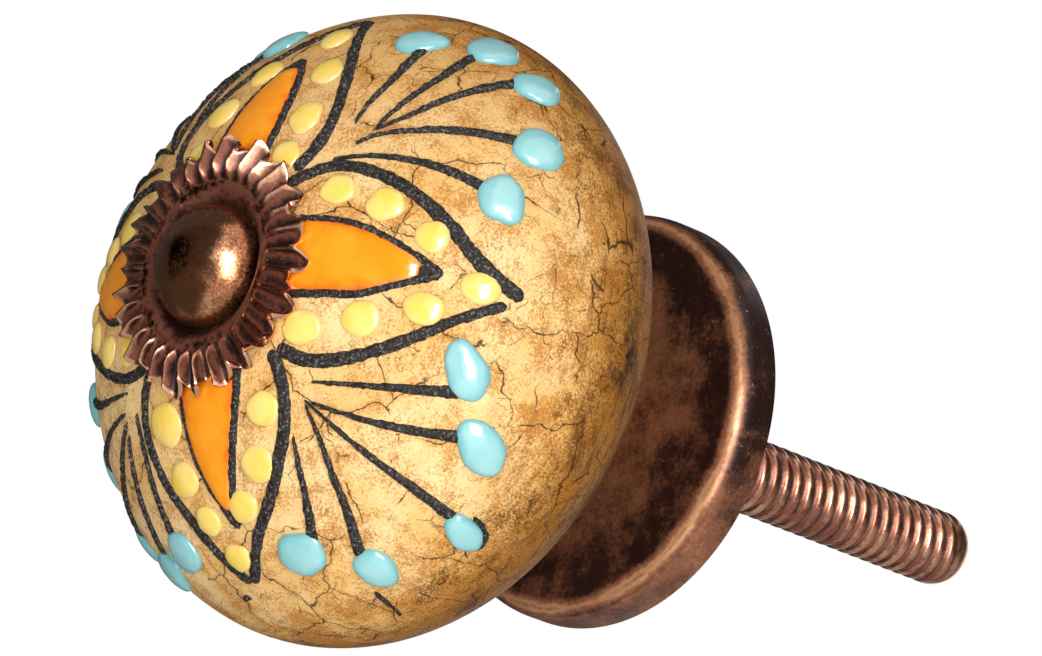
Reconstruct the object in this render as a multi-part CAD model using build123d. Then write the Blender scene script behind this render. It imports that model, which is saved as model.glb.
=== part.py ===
from build123d import *
import math
import os

# Painted ceramic cabinet knob on an antique-copper bolt.
# Lengths are millimetres and angles are degrees.
# The knob's axis is Y: its front faces -Y, its stud points +Y, and +Z is up.
# The origin is the centre of the plane where the base sits on the cabinet.

# Ceramic body
ceramic_diameter = 38.0
front_depth = 14.0
front_fullness = 1.88
back_depth = 12.6
neck_diameter = 9.6
neck_fillet = 2.4
equator_to_base = 18.4
seat_radius = 3.9
seat_mouth_radius = 4.95
seat_sink = 0.54
ceramic_bore_clearance = 0.35

# Bolt with a domed head: the bare stud is as wide as its thread's crests
bolt_diameter = 4.76
pitch_diameter = 4.09
stud_length = 31.5
stud_tip_radius = 1.7
head_diameter = 7.5
head_rim_height = 0.1
head_dome_height = 3.0

# Base cup, pressed from sheet and open at the back
base_diameter = 25.5
base_height = 3.1
base_wall = 0.9
base_edge_radius = 1.5
base_hole_clearance = 0.2

# Retaining nut in the hollow of the base
nut_across_flats = 8.7
nut_thickness = 1.8
nut_chamfer_angle = 30.0
thread_clearance = 0.03

# Fluted flower washer, stamped from sheet
washer_sheet = 0.4
washer_hole_clearance = 0.12
dish_gap = 0.1
dish_rise = 0.65
dish_rim_land = 0.2
flute_count = 33
flute_start_radius = 5.0
flute_depth = 0.5
flute_lift = 0.12
flute_ridge_angle = 35.8
tip_count = 21
tip_radius = 7.9
tip_fullness = 0.65
notch_radius = 7.0
tip_angle = 4.0
skirt_clearance = 0.1

# Raised enamel: radii and angles are those seen from the front
petal_angles = (-13.6, 73.0, 168.5, 258.4)
orange_tip_radius = 13.6
orange_belly_radius = 9.2
orange_start_radius = 6.6
orange_root_width = 4.2
orange_width = 4.6
enamel_height = 0.3
dot_height = 0.5
dot_sides = 14
dot_shoulder_share = 0.86
dot_top_share = 0.45

# Each yellow drop: angle from its motif's axis, radius from the knob's axis, and diameter
yellow_pairs = ((27.5, 9.4, 2.5), (18.0, 11.6, 2.3), (9.5, 13.7, 2.1))
yellow_tip = (0.0, 15.7, 2.0)

# Each turquoise drop: angle from its motif's axis, distance inside the widest circle, and diameter
turquoise_pairs = ((25.7, 2.6, 3.1), (15.0, 1.1, 3.2))
turquoise_tip = (0.0, 0.5, 3.2)

# Values that follow from the sizes above
ceramic_radius = ceramic_diameter / 2
bolt_radius = bolt_diameter / 2
shank_radius = pitch_diameter / 2
head_radius = head_diameter / 2
base_front = -base_height
equator = base_front - equator_to_base


def front_reach(radius, lift=0.0):
    """Distance from the equator plane to the front surface, grown outwards by lift."""
    share = radius / (ceramic_radius + lift)
    return (front_depth + lift) * (1 - share**front_fullness) ** (1 / front_fullness)


def front_curve(inner_radius, lift=0.0):
    """Front outline from inner_radius out to the equator, in the X-Y plane."""
    outer_radius = ceramic_radius + lift
    inner_turn = math.acos((inner_radius / outer_radius) ** (front_fullness / 2))
    span_count = 8
    points = []
    for index in range(span_count + 1):
        turn = inner_turn * (1 - index / span_count)
        radius = outer_radius * math.cos(turn) ** (2 / front_fullness)
        reach = (front_depth + lift) * math.sin(turn) ** (2 / front_fullness)
        points.append((radius, equator - reach))
    return Spline(points)


def turned(outline):
    """Solid of revolution about the knob's axis from a closed outline in the X-Y plane."""
    return revolve(make_face(outline), Axis.Y)


def front_plane(y):
    """Plane that faces the viewer in front of the knob, with X to the right and Z up."""
    return Plane(origin=(0, y, 0), x_dir=(1, 0, 0), z_dir=(0, -1, 0))


def polar(radius, angle):
    """Point at a radius and an angle, as seen from the front."""
    turn = math.radians(angle)
    return (radius * math.cos(turn), radius * math.sin(turn))


# Ceramic body: full front with a sunk seat for the washer, rounder back, and a neck that stands on the base
front_seat = equator - front_reach(seat_mouth_radius) + seat_sink
neck_radius = neck_diameter / 2
ceramic_bore_radius = bolt_radius + ceramic_bore_clearance
neck_turn = math.degrees(math.acos(neck_radius / ceramic_radius))
back_curve = EllipticalCenterArc((0, equator), ceramic_radius, back_depth, arc_size=neck_turn)
neck_root = back_curve @ 1
body_section = make_face(
    front_curve(seat_mouth_radius)
    + back_curve
    + Polyline(
        neck_root,
        (neck_radius, base_front),
        (ceramic_bore_radius, base_front),
        (ceramic_bore_radius, front_seat),
        (seat_radius, front_seat),
        (seat_mouth_radius, front_seat - seat_sink),
    )
)
root_corner = body_section.vertices().sort_by_distance(neck_root)[0]
ceramic_knob = revolve(fillet(root_corner, neck_fillet), Axis.Y)

# Bolt: domed head in front, stud with a rounded tip behind.
# The thread is rolled, so the shank, and the thread in the nut, are drawn at its pitch diameter.
head_seat = front_seat - washer_sheet
head_rim = head_seat - head_rim_height
head_top = head_rim - head_dome_height
dome_radius = (head_radius**2 + head_dome_height**2) / (2 * head_dome_height)
dome_curve = RadiusArc((head_radius, head_rim), (0, head_top), dome_radius)
bolt_section = make_face(
    dome_curve
    + Polyline(
        (0, head_top),
        (0, stud_length),
        (bolt_radius, stud_length),
        (bolt_radius, 0),
        (shank_radius, 0),
        (shank_radius, head_seat),
        (head_radius, head_seat),
        (head_radius, head_rim),
    )
)
tip_corner = bolt_section.vertices().sort_by_distance((bolt_radius, stud_length))[0]
domed_bolt = revolve(fillet(tip_corner, stud_tip_radius), Axis.Y)

# Base cup: a pressed disc with a rounded front edge, hollow behind and bevelled inside
base_radius = base_diameter / 2
base_inside = base_radius - base_wall
cup_floor = base_front + base_wall
base_hole_radius = bolt_radius + base_hole_clearance
cup_section = make_face(
    Polyline(
        (base_hole_radius, base_front),
        (base_radius, base_front),
        (base_radius, 0),
        (base_inside, 0),
        (base_inside, cup_floor),
        (base_hole_radius, cup_floor),
        close=True,
    )
)
outer_corner = cup_section.vertices().sort_by_distance((base_radius, base_front))[0]
cup_section = fillet(outer_corner, base_edge_radius)
inner_corner = cup_section.vertices().sort_by_distance((base_inside, cup_floor))[0]
cup_section = chamfer(inner_corner, base_edge_radius - base_wall)
base_cup = revolve(cup_section, Axis.Y)

# Retaining nut: a thin hexagon chamfered on both faces, seated on the cup's floor
nut_rear = cup_floor + nut_thickness
nut_bore_radius = shank_radius + thread_clearance
nut_flat_radius = nut_across_flats / 2
nut_corner_radius = nut_across_flats / math.sqrt(3)
nut_chamfer = (nut_corner_radius - nut_flat_radius) * math.tan(math.radians(nut_chamfer_angle))
hexagon = RegularPolygon(nut_flat_radius, 6, major_radius=False)
hex_bar = extrude(front_plane(nut_rear) * hexagon, nut_thickness)
chamfered_blank = turned(
    Polyline(
        (nut_bore_radius, cup_floor),
        (nut_flat_radius, cup_floor),
        (nut_corner_radius, cup_floor + nut_chamfer),
        (nut_corner_radius, nut_rear - nut_chamfer),
        (nut_flat_radius, nut_rear),
        (nut_bore_radius, nut_rear),
        close=True,
    )
)
retaining_nut = hex_bar & chamfered_blank

# Flower washer: a dish round the bolt's head, then a fluted skirt that falls to just over the glaze
rim_rear = front_seat - dish_rise
tip_rear = equator - front_reach(tip_radius) - skirt_clearance
skirt_slope = (tip_rear - rim_rear) / (tip_radius - flute_start_radius)
skirt_end_radius = tip_radius + washer_sheet
skirt_end = rim_rear + skirt_slope * (skirt_end_radius - flute_start_radius)
dish_floor_radius = head_radius + dish_gap
dish_rim_radius = flute_start_radius - dish_rim_land
washer_hole_radius = bolt_radius + washer_hole_clearance
flower_blank = turned(
    Polyline(
        (washer_hole_radius, front_seat),
        (dish_floor_radius, front_seat),
        (dish_rim_radius, rim_rear),
        (flute_start_radius, rim_rear),
        (skirt_end_radius, skirt_end),
        (skirt_end_radius, skirt_end - washer_sheet - flute_depth),
        (flute_start_radius, rim_rear - washer_sheet),
        (dish_rim_radius, rim_rear - washer_sheet),
        (dish_floor_radius, head_seat),
        (washer_hole_radius, head_seat),
        close=True,
    )
)

# Each flute is a cone with its point just over the skirt's start, so it widens and deepens outwards
flute_pitch = 360 / flute_count
flute_run = skirt_end_radius - flute_start_radius
ridge_rise = flute_depth / flute_run
half_mouth = skirt_end_radius * math.tan(math.radians(flute_pitch / 2))
mouth_radius = (half_mouth**2 + flute_depth**2) / (2 * flute_depth)
flute_start = (flute_start_radius, rim_rear - washer_sheet - flute_lift, 0)
axis_slope = skirt_slope - ridge_rise - (mouth_radius - flute_depth - flute_lift) / flute_run
flute_axis = Plane(origin=flute_start, z_dir=(1, axis_slope, 0))
overrun = 1.2
flute_length = overrun * flute_run * math.hypot(1, axis_slope)
flute = flute_axis * Cone(
    0,
    overrun * mouth_radius,
    flute_length,
    align=(Align.CENTER, Align.CENTER, Align.MIN),
)
trough_angle = flute_ridge_angle - flute_pitch / 2
flutes = [flute.rotate(Axis.Y, -trough_angle - index * flute_pitch) for index in range(flute_count)]

# The edge is a ring of pointed arches
tip_pitch = 360 / tip_count
shoulder_radius = notch_radius + (tip_radius - notch_radius) * tip_fullness
edge_arcs = []
for index in range(tip_count):
    middle = tip_angle + index * tip_pitch
    for side in (-1, 1):
        notch = polar(notch_radius, middle + side * tip_pitch / 2)
        shoulder = polar(shoulder_radius, middle + side * tip_pitch / 4)
        edge_arcs.append(ThreePointArc(notch, shoulder, polar(tip_radius, middle)))
edge_blank = extrude(front_plane(front_seat) * make_face(edge_arcs), tip_radius, both=True)
flower_washer = (flower_blank & edge_blank) - flutes


def glaze_frame(radius, angle):
    """Plane that touches the front surface at a point, with its Z axis pointing outwards."""
    x, z = polar(radius, angle)
    reach = front_reach(radius)
    outwards = (radius / ceramic_radius) ** (front_fullness - 1) / ceramic_radius
    forwards = (reach / front_depth) ** (front_fullness - 1) / front_depth
    side_x, side_z = polar(outwards, angle)
    return Plane(origin=(x, equator - reach, z), z_dir=(side_x, -forwards, side_z))


def drop(radius, angle, diameter):
    """Round drop of enamel on the glaze, as a many-sided dome in two tiers."""
    tier = dot_height / 2
    half_flats = diameter / 2 * math.cos(math.pi / dot_sides)
    side_slope = math.degrees(math.atan(half_flats * (1 - dot_shoulder_share) / tier))
    crown_slope = math.degrees(math.atan(half_flats * (dot_shoulder_share - dot_top_share) / tier))
    foot = RegularPolygon(diameter / 2, dot_sides)
    shoulder = RegularPolygon(diameter / 2 * dot_shoulder_share, dot_sides)
    side = extrude(foot, tier, taper=side_slope)
    crown = Pos(0, 0, tier) * extrude(shoulder, tier, taper=crown_slope)
    return glaze_frame(radius, angle) * (side + crown)


def motif(pairs, tip):
    """Mirrored pairs and one end drop, each as (angle, place, diameter)."""
    mirrored = [(side * angle, place, size) for angle, place, size in pairs for side in (-1, 1)]
    return mirrored + [tip]


def drops(axis_angles, spots):
    """The same motif on each axis, each spot of it as (angle, radius, diameter)."""
    return Compound(
        [
            drop(radius, axis_angle + offset, size)
            for axis_angle in axis_angles
            for offset, radius, size in spots
        ]
    )


# Raised enamel: a pointed orange petal on each axis, yellow drops round it, turquoise drops between
leaf_edges = []
for side in (-1, 1):
    root = (orange_start_radius, side * orange_root_width / 2)
    belly = (orange_belly_radius, side * orange_width / 2)
    leaf_edges.append(Spline(root, belly, (orange_tip_radius, 0)))
leaf_edges.append(Line(leaf_edges[0] @ 0, leaf_edges[1] @ 0))
leaf = make_face(leaf_edges)
leaves = Sketch() + [Rot(0, 0, angle) * leaf for angle in petal_angles]
enamel_curve = front_curve(seat_mouth_radius, enamel_height)
enamel_skin = turned(
    enamel_curve
    + Polyline(enamel_curve @ 1, (0, equator), (0, (enamel_curve @ 0).Y), enamel_curve @ 0)
)
leaf_bars = extrude(front_plane(equator) * leaves, front_depth + enamel_height)
orange_petals = (leaf_bars & enamel_skin) - ceramic_knob - flower_blank
yellow_dots = drops(petal_angles, motif(yellow_pairs, yellow_tip))
spray_angles = []
for index, angle in enumerate(petal_angles):
    following = petal_angles[(index + 1) % len(petal_angles)]
    spray_angles.append(angle + ((following - angle) % 360) / 2)
rim_spots = motif(turquoise_pairs, turquoise_tip)
turquoise_spots = [(angle, ceramic_radius - inset, size) for angle, inset, size in rim_spots]
turquoise_dots = drops(spray_angles, turquoise_spots)

# One file for each piece
os.makedirs("parts", exist_ok=True)
pieces = {
    "ceramic_knob": ceramic_knob,
    "flower_washer": flower_washer,
    "domed_bolt": domed_bolt,
    "base_cup": base_cup,
    "retaining_nut": retaining_nut,
    "orange_petals": orange_petals,
    "yellow_dots": yellow_dots,
    "turquoise_dots": turquoise_dots,
}
for name, piece in pieces.items():
    export_step(piece, f"parts/{name}.step")
    print(name, len(piece.solids()), "solids", round(piece.volume, 1), "mm3")
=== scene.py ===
# %% [markdown]
# # A hand-painted ceramic cabinet knob
# The knob is a round ceramic body with a crackled tan glaze, painted with raised enamel: four petals with
# orange hearts, yellow and turquoise drops, and dark lines. A copper bolt holds it on a copper base, with a
# fluted flower washer under the bolt's head. The packed model gives every piece its place and size. This
# lesson builds finer meshes over it and gives each one its finish.
# The knob's lengths are in millimetres and become metres, Blender's unit, only when a vertex is placed. The
# stage round the knob is in metres. Python's chance and Blender's noise are both seeded, so each run makes
# the same knob.

# %% Load the packed model
import bisect
import math
import random

import bmesh
import bpy
from mathutils import Color, Matrix, Vector, noise


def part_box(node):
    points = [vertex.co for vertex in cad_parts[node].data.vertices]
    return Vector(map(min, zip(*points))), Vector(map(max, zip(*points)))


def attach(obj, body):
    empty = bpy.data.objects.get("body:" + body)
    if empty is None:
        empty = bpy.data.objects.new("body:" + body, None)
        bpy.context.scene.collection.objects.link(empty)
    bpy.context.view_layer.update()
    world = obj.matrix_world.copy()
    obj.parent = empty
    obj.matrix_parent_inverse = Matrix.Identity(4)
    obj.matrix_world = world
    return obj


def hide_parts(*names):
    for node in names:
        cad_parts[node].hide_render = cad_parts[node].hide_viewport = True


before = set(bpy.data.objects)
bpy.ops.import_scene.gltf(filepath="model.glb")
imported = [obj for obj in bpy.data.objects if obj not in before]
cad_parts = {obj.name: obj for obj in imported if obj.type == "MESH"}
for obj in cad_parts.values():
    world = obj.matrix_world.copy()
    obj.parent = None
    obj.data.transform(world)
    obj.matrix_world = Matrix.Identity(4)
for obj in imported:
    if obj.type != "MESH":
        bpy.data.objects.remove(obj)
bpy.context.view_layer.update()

MM = 0.001
SEED = 11
random.seed(SEED)
noise.seed_set(SEED)
scene = bpy.context.scene
print("nodes of the packed model:", ", ".join(sorted(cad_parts)))

# %% [markdown]
# ## Measures of the packed model
# The axis of the knob is Y: the painted front faces -Y and the stud points along +Y. Each node's box gives
# the measures that the finer meshes have to keep, so a piece made here sits exactly where its node does.

# %% Measure the nodes
def extent(node):
    """Lowest and highest corner of a node, in millimetres."""
    lowest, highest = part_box(node)
    return lowest / MM, highest / MM


ceramic_low, ceramic_high = extent("ceramic_knob")
bolt_low, bolt_high = extent("domed_bolt")
cup_low, cup_high = extent("base_cup")

CERAMIC_RADIUS = ceramic_high.x
BASE_FRONT = cup_low.y
BASE_RADIUS = cup_high.x
STUD_END = bolt_high.y
HEAD_TOP = bolt_low.y
print(f"ceramic radius {CERAMIC_RADIUS:.2f}, base radius {BASE_RADIUS:.2f}, stud end {STUD_END:.2f}")
print(f"head top {HEAD_TOP:.2f}, base front {BASE_FRONT:.2f}, ceramic front {ceramic_low.y:.2f}")

# %% [markdown]
# ## The camera
# The photograph looks at the knob from its right and from below, through a long lens. The camera is set by
# two angles and a distance from the middle of the ceramic's widest circle. That circle is left of the
# picture's middle, so the aim is moved along the camera's own right and up directions instead of shifting
# the lens.

# %% Camera at the photograph's angle
PICTURE_WIDTH = 1042
FOCAL_PIXELS = 7150
AZIMUTH = math.radians(42.88)
ELEVATION = math.radians(-21.59)
CAMERA_DISTANCE = 419.1
AIM_RIGHT = 8.72
AIM_UP = 0.09
EQUATOR = -21.5


def add_object(name, data):
    """A new object in the scene, with the given data."""
    thing = bpy.data.objects.new(name, data)
    scene.collection.objects.link(thing)
    return thing


towards_camera = Vector((
    math.sin(AZIMUTH) * math.cos(ELEVATION),
    -math.cos(AZIMUTH) * math.cos(ELEVATION),
    math.sin(ELEVATION),
))
camera_turn = (-towards_camera).to_track_quat("-Z", "Y")
camera_right = camera_turn @ Vector((1, 0, 0))
camera_up = camera_turn @ Vector((0, 1, 0))
middle = Vector((0, EQUATOR, 0))
aim = middle + AIM_RIGHT * camera_right + AIM_UP * camera_up

lens = bpy.data.cameras.new("photo_lens")
lens.sensor_fit = "HORIZONTAL"
lens.lens = lens.sensor_width * FOCAL_PIXELS / PICTURE_WIDTH
lens.clip_start = 0.01
camera = add_object("photo_camera", lens)
camera.location = (aim + CAMERA_DISTANCE * towards_camera) * MM
camera.rotation_mode = "QUATERNION"
camera.rotation_quaternion = camera_turn
scene.camera = camera
scene.view_settings.view_transform = "Standard"
print("lens", round(lens.lens, 1), "mm, camera at", [round(value, 3) for value in camera.location])

# %% [markdown]
# ## White surroundings
# A studio photograph on white has two jobs for its surroundings: a white picture behind the knob, and soft
# light on it. The world does both. Camera, mirror and see-through rays find plain white, and every other ray
# finds a softer level, so the white picture doesn't flood the knob with light. The world is a tree of nodes,
# as every finish below is, so a small class first makes adding a node short.

# %% Helper for node trees
class Nodes:
    """A node tree with a short way to add nodes to it."""

    def __init__(self, tree):
        self.tree = tree

    def put(self, socket, value):
        """Sets a socket to a plain value, or links another node's output to it."""
        if isinstance(value, bpy.types.NodeSocket):
            self.tree.links.new(value, socket)
        else:
            socket.default_value = value

    def add(self, kind, output, inputs, **settings):
        """Adds a node, sets it up, fills its inputs by name or number, and gives one of its outputs."""
        node = self.tree.nodes.new("ShaderNode" + kind)
        for name, value in settings.items():
            setattr(node, name, value)
        for name, value in inputs.items():
            self.put(node.inputs[name], value)
        return node.outputs[output]


world = bpy.data.worlds.new("white_studio")
world.use_nodes = True
sky = Nodes(world.node_tree)
print("nodes that a new world starts with:", len(sky.tree.nodes))

# %% World
AMBIENT_LEVEL = 0.2
PICTURE_LEVEL = 1.0
WHITE = (1, 1, 1, 1)

sky.tree.nodes.clear()
ray = sky.tree.nodes.new("ShaderNodeLightPath").outputs
shown = ray["Is Camera Ray"]
for kind in ("Is Glossy Ray", "Is Transmission Ray"):
    shown = sky.add("Math", 0, {0: shown, 1: ray[kind]}, operation="ADD", use_clamp=True)
soft = sky.add("Background", 0, {"Color": WHITE, "Strength": AMBIENT_LEVEL})
white = sky.add("Background", 0, {"Color": WHITE, "Strength": PICTURE_LEVEL})
choice = sky.add("MixShader", 0, {"Fac": shown, 1: soft, 2: white})
sky.put(sky.tree.nodes.new("ShaderNodeOutputWorld").inputs["Surface"], choice)
scene.world = world
print("world nodes:", len(sky.tree.nodes))

# %% [markdown]
# ## Softboxes
# The white spot on the bolt's dome says where the main light stood: to the right of the camera, as a tall
# softbox with a hot middle. An area lamp is such a box, and a smaller, stronger one in front of it is the hot
# middle. A broad weak one below stands for the light that a pale table throws back, and two weak ones above
# and behind keep the knob readable from other sides. Only the main light shows in reflections.

# %% Lamps
def facing_middle(direction, distance):
    """The place and turn of something that faces the knob's middle from a direction, in metres."""
    away = Vector(direction).normalized()
    turn = (-away).to_track_quat("-Z", "Y").to_matrix().to_4x4()
    return Matrix.Translation(middle * MM + away * distance) @ turn


def softbox(name, direction, distance, width, height, power, mirrored=False):
    """An area lamp that shines on the knob's middle from a direction."""
    lamp = bpy.data.lights.new(name, "AREA")
    lamp.shape = "RECTANGLE"
    lamp.size = width
    lamp.size_y = height
    lamp.energy = power
    holder = add_object(name, lamp)
    holder.matrix_world = facing_middle(direction, distance)
    holder.visible_glossy = mirrored


KEY_DIRECTION = (0.83, -0.52, -0.30)
softbox("key_softbox", KEY_DIRECTION, 0.60, 0.36, 0.74, 1.4, mirrored=True)
softbox("key_hot_middle", KEY_DIRECTION, 0.58, 0.19, 0.56, 3.0, mirrored=True)
softbox("table_bounce", (0.2, -0.72, -0.66), 0.42, 0.4, 0.4, 1.1)
softbox("top_softbox", (-0.35, -0.5, 0.8), 0.7, 0.5, 0.5, 1.4)
softbox("back_softbox", (-0.5, 0.85, 0.35), 0.7, 0.5, 0.5, 1.2)

# %% [markdown]
# ## Dark cards
# The metal mirrors a dark room: at the left, above, below and behind the right side, with a still darker oval
# at the left of the dome. Photographers put dark cards round a shiny thing, so that metal and gloss have
# something to mirror besides white. A card here shows only in mirror reflections: it takes no light away and
# the camera can't see it.

# %% Cards that only reflections see
BLACK = (0, 0, 0, 1)


def as_mesh(name, mesh):
    """A bmesh as mesh data. The bmesh is freed."""
    data = bpy.data.meshes.new(name)
    mesh.to_mesh(data)
    mesh.free()
    return data


def paper_sheet(name, place, **look):
    """A flat sheet, 1 m wide until its place stretches it, with shader inputs such as Base_Color."""
    mesh = bmesh.new()
    bmesh.ops.create_grid(mesh, x_segments=1, y_segments=1, size=0.5, matrix=place)
    sheet = add_object(name, as_mesh(name, mesh))
    paper = bpy.data.materials.new(name)
    paper.use_nodes = True
    shader = paper.node_tree.nodes["Principled BSDF"]
    for socket, value in look.items():
        shader.inputs[socket.replace("_", " ")].default_value = value
    sheet.data.materials.append(paper)
    return sheet


def dark_card(name, direction, distance, width, height, level):
    """A card of an even grey level that faces the knob's middle and shows only in mirror reflections."""
    place = facing_middle(direction, distance) @ Matrix.Diagonal((width, height, 1, 1))
    glow = {"Emission_Color": WHITE, "Emission_Strength": level}
    card = paper_sheet(name, place, Base_Color=BLACK, Specular_IOR_Level=0.0, **glow)
    card.visible_camera = False
    card.visible_diffuse = False
    card.visible_shadow = False


dark_card("front_card", (-0.35, -0.82, 0.45), 0.70, 2.0, 1.7, 0.055)
dark_card("left_card", (-0.98, 0.05, 0.2), 0.75, 1.5, 1.5, 0.06)
dark_card("top_card", (-0.3, 0.05, 0.95), 0.70, 1.4, 1.3, 0.09)
dark_card("low_card", (-0.42, -0.50, -0.76), 0.36, 0.6, 0.6, 0.09)
dark_card("back_card", (0.62, 0.78, 0.1), 0.80, 1.3, 1.3, 0.10)
dark_card("black_card", (-0.51, -0.83, 0.23), 0.5, 0.42, 0.58, 0.0)

# %% [markdown]
# ## The floor
# The knob is photographed in the air, so the floor is far below it. It is a plain pale sheet that belongs to
# the stage, not to the knob.

# %% Pale floor
FLOOR_LEVEL = -0.32
FLOOR_WIDTH = 8.0
PALE = (0.85, 0.85, 0.85, 1)

floor_place = Matrix.Translation((0, 0, FLOOR_LEVEL)) @ Matrix.Diagonal((FLOOR_WIDTH, FLOOR_WIDTH, 1, 1))
floor = paper_sheet("studio_floor", floor_place, Base_Color=PALE, Roughness=0.9)
print("floor at", FLOOR_LEVEL, "m")

# %% [markdown]
# ## A helper that makes a piece of the knob
# A bmesh becomes an object in the same few steps each time: merge the doubles that a spin leaves, turn the
# faces outwards, shade smoothly except over sharp edges, give it its material, hang it on the knob's root,
# and hide the node of the packed model that it stands for. The object stays at the origin and its place is in
# its vertices.

# %% Finish a bmesh as a piece
SHARP_DEGREES = 40
NEAR_ZERO = 1e-6


def make_piece(name, mesh, material, node=None):
    """Turns a bmesh into a piece that rides on the knob, and frees the bmesh."""
    bmesh.ops.remove_doubles(mesh, verts=mesh.verts, dist=NEAR_ZERO)
    bmesh.ops.recalc_face_normals(mesh, faces=mesh.faces)
    for face in mesh.faces:
        face.smooth = True
    data = as_mesh(name, mesh)
    data.set_sharp_from_angle(angle=math.radians(SHARP_DEGREES))
    data.materials.append(material)
    piece = add_object(name, data)
    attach(piece, "root")
    if node:
        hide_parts(node)
    print(f"{name}: {len(data.vertices)} vertices, {len(data.polygons)} faces")
    return piece


print("edges bent by more than", SHARP_DEGREES, "degrees stay sharp")

# %% [markdown]
# ## Patterns in millimetres
# Every finish here is made of nodes. They all read Object coordinates, scaled so that one unit is one
# millimetre: a noise of 4 per millimetre then really has grains a quarter of a millimetre wide. The class
# keeps the tree and that scaled place, and has one short method for each kind of pattern.

# %% Pattern class
CRACK_CORE = 0.2


class Patterns(Nodes):
    """A node tree with patterns that are laid out in millimetres on the piece's own coordinates."""

    def __init__(self, tree):
        super().__init__(tree)
        self.place = self.stretched((1 / MM, 1 / MM, 1 / MM), self.add("TexCoord", "Object", {}))

    def stretched(self, scale, place=None, turn=(0, 0, 0)):
        """A place turned and scaled along its axes, so that a pattern on it runs in streaks."""
        inputs = {"Vector": place or self.place, "Rotation": turn, "Scale": scale}
        return self.add("Mapping", "Vector", inputs)

    def noise(self, per_mm, detail=2.0, roughness=0.5, place=None):
        inputs = {"Vector": place or self.place, "Scale": per_mm, "Detail": detail, "Roughness": roughness}
        return self.add("TexNoise", "Fac", inputs)

    def wandering(self, per_mm, reach, place):
        """A place pushed about by a soft noise, so that straight pattern lines wander."""
        push = self.add("TexNoise", "Color", {"Vector": place, "Scale": per_mm, "Detail": 3.0})
        inputs = {0: push, 1: (reach, reach, reach), 2: place}
        return self.add("VectorMath", 0, inputs, operation="MULTIPLY_ADD")

    def ramp(self, value, low, high, at_low=0.0, at_high=1.0):
        """Takes one range of values smoothly to another one."""
        inputs = {"Value": value, "From Min": low, "From Max": high, "To Min": at_low, "To Max": at_high}
        return self.add("MapRange", "Result", inputs, interpolation_type="SMOOTHSTEP")

    def cracks(self, cell, width, place, dimensions):
        """A net of thin lines: 1 on a line and 0 off it."""
        kind = {"feature": "DISTANCE_TO_EDGE", "voronoi_dimensions": dimensions}
        far = self.add("TexVoronoi", "Distance", {"Vector": place, "Scale": 1 / cell}, **kind)
        return self.ramp(far, CRACK_CORE * width / cell, width / cell, 1.0, 0.0)

    def axis(self, letter):
        """One coordinate of the place, in millimetres."""
        return self.add("SeparateXYZ", letter, {0: self.place})

    def near(self, spot, reach):
        """1 at a spot, falling to 0 at a distance from it."""
        far = self.add("VectorMath", "Value", {0: self.place, 1: spot}, operation="DISTANCE")
        return self.ramp(far, 0.0, reach, 1.0, 0.0)

    def attribute(self, name, output="Fac"):
        """A value, or with output Vector a place, that the piece's vertices carry."""
        return self.add("Attribute", output, {}, attribute_name=name)


print("patterns:", [name for name in vars(Patterns) if not name.startswith("_")])

# %% [markdown]
# ## A helper that builds finishes
# A finish is a material whose patterns end in its Principled shader. Levels are added and multiplied first.
# Colours are then laid over each other by those levels, as a painter lays one thin coat over another.

# %% Finish class
class Finish(Patterns):
    """A material that is made of patterns, levels and colours."""

    def __init__(self, name):
        self.material = bpy.data.materials.new(name)
        self.material.use_nodes = True
        super().__init__(self.material.node_tree)
        self.shader = self.tree.nodes["Principled BSDF"]

    def shade(self, **inputs):
        """Fills the shader's inputs, such as Base_Color, by name."""
        for name, value in inputs.items():
            self.put(self.shader.inputs[name.replace("_", " ")], value)

    def bump(self, height, depth, strength):
        """Dents the look of the surface, with a depth in millimetres."""
        inputs = {"Strength": strength, "Distance": depth * MM, "Height": height}
        self.shade(Normal=self.add("Bump", "Normal", inputs))

    def combine(self, operation, first, second):
        return self.add("Math", 0, {0: first, 1: second}, operation=operation)

    def times(self, first, second):
        return self.combine("MULTIPLY", first, second)

    def plus(self, value, *others):
        """A value with others added to it, each one as a pair with its weight."""
        for other, weight in others:
            value = self.combine("ADD", value, self.times(other, weight))
        return value

    def blend(self, share, first, second):
        """Mixes two colours."""
        return self.add("Mix", 2, {0: share, 6: first, 7: second}, data_type="RGBA")

    def layer(self, below, level, low, high, share, colour):
        """Lays a colour over another one where a level is high."""
        return self.blend(self.ramp(level, low, high, 0.0, share), below, colour)


def tint(red, green, blue):
    """A colour as a paint program shows it, made into the linear colour that nodes use."""
    return (*Color((red / 255, green / 255, blue / 255)).from_srgb_to_scene_linear(), 1.0)


print("linear value of a middle grey:", round(tint(128, 128, 128)[0], 3))

# %% [markdown]
# ## The crackled glaze
# The glaze is sandy cream in front, and the kiln has toasted it to mustard and brown towards the widest
# circle and behind it. Iron in the clay breaks through as golden and dark grain, thick in some places and
# thin in others, soot has left brown smears, and the wheel has left streaks round the back. Layers of noise
# make the colour, from broad clouds down to grains a seventh of a millimetre wide. Grain is added to the gold
# and soot levels before they are cut off, so that no patch has a smooth edge.

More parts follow.
